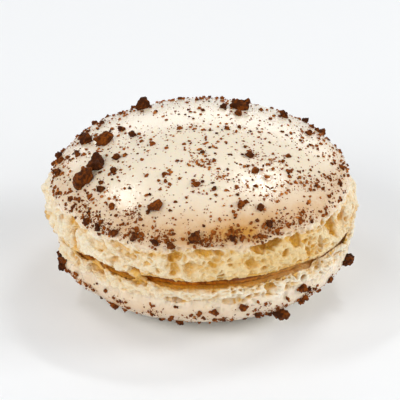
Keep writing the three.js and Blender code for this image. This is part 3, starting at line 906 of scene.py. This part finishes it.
def shell_skin(shell, settings):
    """A shell's mesh in millimetres, flat side down, with what its material reads."""
    rows = len(shell_rows(shell))
    mesh, azimuth, row = lathe_mesh(rows, SECTORS, COLUMNS, shell.name + "_skin")
    points, zones, levels = shell_form(shell, azimuth, row)
    write_points(mesh, points)
    on_foot = zones == "foot"
    on_cap = zones == "cap"

    out, pore = foam_relief(shell, points, foam_amount(zones, levels), settings)
    side = azimuth[on_foot], levels[on_foot], points[on_foot]
    hollow = np.zeros(len(points))
    hollow[on_foot] = ragged_pits(shell, *side)
    groove = np.zeros(len(points))
    groove[on_foot] = undercut(*side)
    out -= PIT_DEPTH * hollow + GROOVE.deep * groove
    out[on_cap] += uneven(points[on_cap], CAP_DENTS)
    points = points + read_normals(mesh) * out[:, None]
    points[:, 2] = np.minimum(points[:, 2], shell.highest)
    write_points(mesh, points)

    latitude = np.where(on_cap, levels, 0.0)
    skin = share_round(azimuth, *shell.browned) * bell((latitude - SKIN.latitude) / SKIN.spread)
    up_foot = ramp(levels, *SKIN.foot_shares) * on_foot
    baked = mixed(share_round(azimuth, *shell.toasted), skin, np.where(on_cap, 1.0, up_foot))
    # How deep in pores, pits and the groove each point lies, which the material paints as shade.
    pore = PORES.foam * pore + PORES.hollows * (hollow + groove)
    store(mesh, "baked", baked)
    store(mesh, "pore", np.clip(pore, 0, 1))
    store(mesh, "foot", foam_colour(shell, zones, levels, points))
    store(mesh, "stain", stain_of_filling(shell, azimuth, zones, levels, points))
    store(mesh, "haze", cocoa_haze(shell, azimuth, latitude) * on_cap)
    return mesh


def stain_of_filling(shell, azimuth, zones, levels, points):
    """Where the meringue has drunk the filling: all of the flat side, less over the ragged lip."""
    stain = (zones == "flat") * 1.0
    lip = zones == "lip"
    stain[lip] = mixed(1, shell.stained_lip, levels[lip])
    low = (zones == "foot") & (levels < STAIN.up_to)
    reach = np.maximum(STAIN.usual + uneven(points[low], STAIN.ragged), STAIN.least)
    stain[low] = shell.stained_lip * ramp(levels[low], reach, 0.0)
    pale = near_turn(azimuth, shell.side * PALE_FILLING.azimuth, PALE_FILLING.spread)
    return stain * (1 - STAIN.paler * pale)


def foam_colour(shell, zones, levels, points):
    """1 on the foam and 0 on the cap, with a ragged border a little above and below the skirt."""
    above_skirt = np.select(
        [zones == "foot", zones == "cap"],
        [shell.foot_height * (levels - 1), shell.cap_rise * np.sin(np.radians(levels))],
        default=-math.inf,
    )
    near = np.abs(above_skirt) < FOAM_BORDER.reach
    above_skirt[near] += uneven(points[near], FOAM_BORDER.ragged)
    return ramp(above_skirt, *FOAM_BORDER.fade)


def apart_on_cap(shell, at, level, azimuth, latitude, steepness):
    """Millimetres over a cap from one azimuth and latitude to others."""
    along = np.radians(turn_between(at, azimuth)) * np.cos(np.radians(latitude))
    return shell.cap_radius * np.hypot(along, np.radians(latitude - level) * steepness)


def cocoa_haze(shell, azimuth, latitude):
    """How much powder lies between the crumbs, from 0 to 1."""
    total = HAZE.skirt * bell((latitude - HAZE.latitude) / HAZE.spread)
    spots = [(at, level, mixed(*HAZE.beside, size), HAZE.crumbs) for at, level, size in shell.crumbs]
    for at, level, spread, _, orange in shell.patches:
        spots.append((at, level, spread, HAZE.patches * orange))
    for at, level, spread, strength in spots:
        apart = apart_on_cap(shell, at, level, azimuth, latitude, HAZE.steepness)
        total = total + strength * bell(apart / spread)
    return np.clip(total, 0, 1)


def to_frame(shell, points):
    """Points of a shell as baked, in millimetres, brought to where it lies, in metres."""
    return (points * (shell.side, 1, shell.side) + (*shell.shift, shell.lip_z)) * MM


def make_shell(shell, settings):
    noise.seed_set(shell.seed)  # without it, noise vectors differ from one run to the next
    mesh = shell_skin(shell, settings)
    write_points(mesh, to_frame(shell, read_points(mesh)))
    name = shell.name + "_meringue"
    add_piece(name, mesh, shell_material(settings, name), "shell", shell.name)


# ---- Filling ----


def make_filling(settings):
    """The disc of filling, from flat side to flat side, its pressed edge uneven."""
    skin = FILLING_SKIN
    shares = np.array(skin.flat_shares + [1.0] * skin.side_rows + skin.flat_shares[::-1])
    mesh, azimuth, row = lathe_mesh(len(shares), skin.sectors, skin.columns, "filling_cream")
    side = (row - len(skin.flat_shares)) / (skin.side_rows - 1)
    level = np.clip(side, 0, 1)
    bulges = waves_at(draw_waves(random_stream(FILLING.seed), WAVES.filling), azimuth)
    edge = FILLING.radius - skin.inset * (2 * level - 1) ** skin.squareness + bulges
    height = mixed(LOWER_LIP_Z - LOWER.flat_side, UPPER_LIP_Z + UPPER.flat_side, level)
    points = turned_point(azimuth, edge * shares[row], height)
    write_points(mesh, points)
    on_side = (side > 0) & (side < 1)
    out = uneven(points[on_side], skin.unevenness) * (settings.edge_depth / MM)
    points[on_side] += read_normals(mesh)[on_side] * (1, 1, 0) * out[:, None]
    points += (LOWER_SHIFT[0] / 2, LOWER_SHIFT[1] / 2, 0)
    write_points(mesh, points * MM)
    # The upper part of the side, where the painted shadow under the upper lip goes.
    store(mesh, "darker", ramp(level, *skin.darker))
    store(mesh, "paler", near_turn(azimuth, PALE_FILLING.azimuth, PALE_FILLING.spread))
    add_piece("filling_cream", mesh, filling_material(settings), "filling", "filling")


# ---- Cocoa crumbs ----


def dome_latitude(shell, reach):
    """The latitude at a share of the way from the top of a cap out to its skirt."""
    return math.degrees(math.acos(reach ** (shell.cap_fullness / 2)))


def place_crumbs(shell):
    """Azimuth, latitude and size of every crumb of the solids, the random ones clear of the rest."""
    draw = random_stream(shell.seed + SEEDS.places)
    crumbs = list(shell.crumbs)
    while len(crumbs) < shell.crumb_count:
        azimuth = between(draw, (-180, 180))
        near_skirt = draw() < SKIRT_CRUMBS.share
        reach = math.sqrt(draw())
        latitude = dome_latitude(shell, reach)
        if near_skirt:
            latitude = mixed(SKIRT_CRUMBS.lowest, SKIRT_CRUMBS.highest, reach)
        size = CRUMB_SIZE.least + CRUMB_SIZE.more * draw() ** 2

        def clear_of(at, level, width):
            apart = apart_on_cap(shell, at, level, azimuth, latitude, CRUMB_SPACE.steepness)
            return apart > CRUMB_SPACE.by_size * (size + width) + CRUMB_SPACE.least

        clear = all(clear_of(*other) for other in crumbs)
        if clear and SKIRT_CRUMBS.lowest < latitude < shell.crumbs_up_to:
            crumbs.append((azimuth, latitude, size))
    return crumbs


def cap_frames(shell, azimuth, latitude):
    """Points of the dome, and for each the directions along, upwards and out of it."""
    def at(to_azimuth, to_latitude):
        return turned_point(to_azimuth, *cap_point(shell, to_azimuth, to_latitude))

    point = at(azimuth, latitude)
    along = at(azimuth + 1, latitude) - point
    along = along / np.linalg.norm(along, axis=-1, keepdims=True)
    normal = np.cross(along, at(azimuth, latitude + 1) - point)
    normal = normal / np.linalg.norm(normal, axis=-1, keepdims=True)
    return point, np.stack([along, np.cross(normal, along), normal], axis=-1)


def spin_about_normal(draw):
    return np.array(Matrix.Rotation(math.tau * draw(), 3, "Z"))


def lump_points(size, corners, draw):
    """Points spread unevenly over a flattened ball."""
    points = []
    for corner in range(corners):
        level = 1 - (2 * corner + 1) / corners
        turn = GOLDEN_ANGLE * corner + draw()
        across = math.sqrt(1 - level * level)
        reach = size / 2 * (CRUMB_REACH.least + CRUMB_REACH.more * draw())
        points.append(Vector((
            reach * across * math.cos(turn),
            reach * across * math.sin(turn) * CRUMB_SHAPE.width,
            reach * level * CRUMB_SHAPE.height,
        )))
    return points


def crumb_points(size, draw):
    """Points spread over a crumb, which is two lumps side by side when it is large."""
    return [
        corner + Vector(aside) * size
        for share, corners, aside in (TWIN_LUMPS if size >= TWINS_FROM_SIZE else ONE_LUMP)
        for corner in lump_points(share * size, corners, draw)]


def lump_mesh(points, cuts):
    """The hull of some points, its faces cut finer: vertex places, their normals and triangles."""
    bm = bmesh.new()
    for point in points:
        bm.verts.new(point)
    hull = bmesh.ops.convex_hull(bm, input=bm.verts)
    inside = [v for v in hull["geom_interior"] if isinstance(v, bmesh.types.BMVert)]
    bmesh.ops.delete(bm, geom=inside, context="VERTS")
    if cuts:
        bmesh.ops.subdivide_edges(bm, edges=bm.edges, cuts=cuts, use_grid_fill=True, smooth=0.1)
        bmesh.ops.smooth_vert(
            bm, verts=bm.verts, factor=0.2, use_axis_x=True, use_axis_y=True, use_axis_z=True)
    bmesh.ops.triangulate(bm, faces=bm.faces)
    bmesh.ops.recalc_face_normals(bm, faces=bm.faces)
    bm.verts.index_update()
    places = np.array([v.co for v in bm.verts])
    normals = np.array([v.normal for v in bm.verts])
    triangles = np.array([[v.index for v in face.verts] for face in bm.faces])
    bm.free()
    return places, normals, triangles


def roughened(places, normals, size, seed):
    """A lump's vertices moved in and out like dry broken crumb."""
    shift = Vector([seed * step for step in BROKEN.seed_steps])
    moved = np.array(places)
    for index, place in enumerate(places):
        spot = Vector(place)
        chip = noise.voronoi(spot / (BROKEN.chip_size * size) + shift)[0][0] - BROKEN.chip_level
        dent = noise.noise(spot / (BROKEN.dent_size * size) + shift)
        grain = noise.noise(spot / BROKEN.grain_size + shift)
        out = size * (BROKEN.dent_depth * dent - BROKEN.chip_depth * chip)
        moved[index] += normals[index] * (out + BROKEN.grain_depth * grain)
    return moved


def add_heap(name, lumps, material, *nodes):
    """Gathers lumps, each of them vertex places, triangles and a warmth, into one piece."""
    if not lumps:
        return
    places, triangles, warmth = zip(*lumps)
    counts = [len(part) for part in places]
    starts = np.repeat(np.cumsum([0] + counts[:-1]), [len(part) for part in triangles])
    mesh = bpy.data.meshes.new(name)
    mesh.from_pydata(np.concatenate(places), [], np.concatenate(triangles) + starts[:, None])
    mesh.validate()
    mesh.update()
    store(mesh, "warm", np.repeat(warmth, counts))
    add_piece(name, mesh, material, "cocoa_crumb", *nodes)


def larger_crumbs(shell, large, middling):
    """The crumbs that the solids also have, and a few more, gathered into two heaps by size."""
    draw = random_stream(shell.seed + SEEDS.crumbs)
    for number, (azimuth, latitude, size) in enumerate(place_crumbs(shell) + shell.more_crumbs):
        point, axes = cap_frames(shell, np.float64(azimuth), np.float64(latitude))
        turned = axes @ spin_about_normal(draw)
        is_large = size >= LARGE_CRUMB
        stretch, seat = next(look for least, *look in CRUMB_LOOKS if size >= least)
        warmth = max(0.0, CRUMB_WARMTH.most - CRUMB_WARMTH.by_size * size)
        warmth += CRUMB_WARMTH.varied * ((number + 1) * GOLDEN_SHARE % 1)
        if (azimuth, latitude) in CRUSHED.crumbs:
            stretch = CRUSHED.stretch
            warmth += CRUSHED.warmer
        cuts = CRUMB_CUTS.large if is_large else CRUMB_CUTS.middling
        places, normals, triangles = lump_mesh(crumb_points(size, draw), cuts)
        places = roughened(places, normals, size, shell.seed + number)
        places = places * stretch + (0, 0, seat * size)
        heap = large if is_large else middling
        heap.append((to_frame(shell, places @ turned.T + point), triangles, warmth))


def lump_kinds(grade, draw):
    """A few lumps of size 1 that the grains of a grade are copies of."""
    kinds = []
    for number in range(grade.kinds):
        places, normals, triangles = lump_mesh(lump_points(1.0, grade.corners, draw), grade.cuts)
        if grade.cuts:
            places = roughened(places, normals, 1.0, number + KIND_SEED)
        kinds.append((places, triangles))
    return kinds


def beside(shell, draw, azimuth, latitude, spread, sizes, orange):
    """A grain near a spot of the cap: its azimuth, latitude, size and warmth."""
    turn = math.tau * draw()
    reach = spread * math.sqrt(-math.log(1 - BESIDE.furthest * draw()))
    up = math.degrees(reach * math.sin(turn) / (BESIDE.steepness * shell.cap_radius))
    along = math.degrees(reach * math.cos(turn) / shell.cap_radius)
    level = latitude + up
    across = max(math.cos(math.radians(level)), BESIDE.least_across)
    size = mixed(*sizes, draw() ** 2)
    return azimuth + along / across, level, size, min(1.0, orange * between(draw, BESIDE.orange))


def strew(shell, grade, draw, count, larger):
    """Grains of a shell: some in patches, some beside the larger crumbs, and the rest anywhere."""
    gathered = count * grade.gathered
    weights = sum(patch[3] for patch in shell.patches)
    spots = [
        (round(gathered * weight / weights), at, level, STREWN.over_patch * spread, orange)
        for at, level, spread, weight, orange in shell.patches]
    each = round(gathered * STREWN.share_beside / len(larger))
    for at, level, size in larger:
        spots.append((each, at, level, mixed(*STREWN.beside, size), STREWN.orange_beside))
    grains = [
        beside(shell, draw, at, level, spread, grade.sizes, orange)
        for number, at, level, spread, orange in spots for _ in range(number)]
    while len(grains) < count:
        azimuth = between(draw, (-180, 180))
        near_skirt = draw() < STREWN.skirt_share
        latitude = dome_latitude(shell, math.sqrt(draw()))
        if near_skirt:
            latitude = mixed(*STREWN.skirt, draw() ** STREWN.skirt_crowding)
        if abs(azimuth) < STREWN.front or draw() < STREWN.share_behind:
            grains.append((azimuth, latitude, mixed(*grade.sizes, draw() ** 2), draw()))
    return [grain for grain in grains if STREWN.lowest < grain[1] < shell.grains_up_to]


def add_grains(shell, grade, draw, heap, kinds, grains):
    """Puts a copy of one of the kinds of lump on the cap for every grain."""
    azimuth, latitude, sizes, oranges = np.reshape(grains, (-1, 4)).T
    points, axes = cap_frames(shell, azimuth, latitude)
    for size, orange, point, turned in zip(sizes, oranges, points, axes):
        places, triangles = kinds[math.floor(draw() * len(kinds))]
        turned = turned @ spin_about_normal(draw)
        squash = (1.0, between(draw, GRAIN_SHAPE.width), between(draw, GRAIN_SHAPE.height))
        placed = (places * squash + (0, 0, GRAIN_SHAPE.seat)) * size @ turned.T + point
        heap.append((to_frame(shell, placed), triangles, mixed(*grade.warmth, orange)))


def make_crumbs(settings):
    """All crumbs of both shells, one mesh for each of four classes of size."""
    large, middling, small, dust = [], [], [], []
    draw = random_stream(settings.seed)
    fine = [
        (SMALL, small, settings.small_count, lump_kinds(SMALL, draw)),
        (DUST, dust, settings.dust_count, lump_kinds(DUST, draw)),
    ]
    for shell in (UPPER, LOWER):
        larger_crumbs(shell, large, middling)
        for grade, heap, count, kinds in fine:
            count = round(shell.grain_share * count)
            grains = strew(shell, grade, draw, count, place_crumbs(shell))
            add_grains(shell, grade, draw, heap, kinds, grains)
    material = crumb_material(settings)
    nodes = (UPPER.name, LOWER.name)
    add_heap("cocoa_crumbs_large", large, material, *nodes)
    add_heap("cocoa_crumbs_middling", middling, material, *nodes)
    add_heap("cocoa_crumbs_small", small, material)
    add_heap("cocoa_dust", dust, material)


# ---- Stage ----


def direction(azimuth, elevation):
    """Towards an azimuth, so far above the horizon, both in degrees."""
    rise = math.radians(elevation)
    return Vector(turned_point(azimuth, math.cos(rise), math.sin(rise)))


def add_soft_box(settings, name, place, distance, size, power, shows):
    light = bpy.data.lights.new(name, "AREA")
    light.shape = "RECTANGLE"
    light.size, light.size_y = size
    light.energy = power * settings.light
    box = bpy.data.objects.new(name, light)
    towards = direction(*place)
    box.location = towards * distance + Vector((0, 0, BOXES_AIM))
    box.rotation_euler = towards.to_track_quat("Z", "Y").to_euler()
    box.visible_glossy = shows
    bpy.context.scene.collection.objects.link(box)


def make_floor(settings):
    bm = bmesh.new()
    bmesh.ops.create_grid(bm, x_segments=2, y_segments=2, size=FLOOR_HALF_WIDTH)
    mesh = mesh_from(bm, "floor")
    mesh.materials.append(floor_material(settings))
    floor = bpy.data.objects.new("floor", mesh)
    bpy.context.scene.collection.objects.link(floor)


def make_surroundings(settings):
    scene = bpy.context.scene
    world = bpy.data.worlds.new("studio")
    world.use_nodes = True
    background = world.node_tree.nodes["Background"]
    background.inputs["Color"].default_value = (1.0, 1.0, 1.0, 1.0)
    background.inputs["Strength"].default_value = settings.backdrop
    scene.world = world
    scene.view_settings.view_transform = "Standard"


def make_camera(settings):
    lens = bpy.data.cameras.new("camera")
    lens.sensor_width = SENSOR_WIDTH
    lens.lens = settings.lens
    camera = bpy.data.objects.new("camera", lens)
    back = direction(0, math.degrees(settings.view_elevation))
    camera.location = back * settings.view_distance + Vector((0, 0, settings.view_height))
    camera.rotation_euler = back.to_track_quat("Z", "Y").to_euler()
    bpy.context.scene.collection.objects.link(camera)
    bpy.context.scene.camera = camera


# ---- Operators and panel ----


class MACARON_OT_shells(bpy.types.Operator):
    """Makes the upper and the lower meringue shell"""

    bl_idname = "macaron.shells"
    bl_label = "Meringue shells"

    def execute(self, context):
        for shell in (UPPER, LOWER):
            make_shell(shell, context.scene.macaron_shell)
        return {"FINISHED"}


class MACARON_OT_filling(bpy.types.Operator):
    """Makes the disc of caramel and cocoa cream between the shells"""

    bl_idname = "macaron.filling"
    bl_label = "Filling"

    def execute(self, context):
        make_filling(context.scene.macaron_filling)
        return {"FINISHED"}


class MACARON_OT_crumbs(bpy.types.Operator):
    """Strews cocoa crumbs and dust over both shells"""

    bl_idname = "macaron.crumbs"
    bl_label = "Cocoa crumbs"

    def execute(self, context):
        make_crumbs(context.scene.macaron_crumbs)
        return {"FINISHED"}


class MACARON_OT_stage(bpy.types.Operator):
    """Sets up the pale floor, the soft studio light and the camera"""

    bl_idname = "macaron.stage"
    bl_label = "Stage"

    def execute(self, context):
        settings = context.scene.macaron_stage
        make_floor(settings)
        make_surroundings(settings)
        make_camera(settings)
        for soft_box in SOFT_BOXES:
            add_soft_box(settings, *soft_box)
        return {"FINISHED"}


class MACARON_PT_build(bpy.types.Panel):
    bl_label = "French Macaron"
    bl_idname = "MACARON_PT_build"
    bl_space_type = "VIEW_3D"
    bl_region_type = "UI"
    bl_category = "Macaron"

    def draw(self, context):
        for operator in OPERATORS:
            self.layout.operator(operator.bl_idname)


SETTINGS = {
    "macaron_shell": MacaronShellSettings,
    "macaron_filling": MacaronFillingSettings,
    "macaron_crumbs": MacaronCrumbSettings,
    "macaron_stage": MacaronStageSettings,
}
OPERATORS = (MACARON_OT_shells, MACARON_OT_filling, MACARON_OT_crumbs, MACARON_OT_stage)


def register():
    for name, settings in SETTINGS.items():
        bpy.utils.register_class(settings)
        setattr(bpy.types.Scene, name, bpy.props.PointerProperty(type=settings))
    for operator in OPERATORS:
        bpy.utils.register_class(operator)
    bpy.utils.register_class(MACARON_PT_build)


def unregister():
    bpy.utils.unregister_class(MACARON_PT_build)
    for operator in reversed(OPERATORS):
        bpy.utils.unregister_class(operator)
    for name, settings in reversed(SETTINGS.items()):
        delattr(bpy.types.Scene, name)
        bpy.utils.unregister_class(settings)


def main():
    register()
    bpy.ops.macaron.shells()
    bpy.ops.macaron.filling()
    bpy.ops.macaron.crumbs()
    bpy.ops.macaron.stage()


if __name__ == "__main__":
    main()
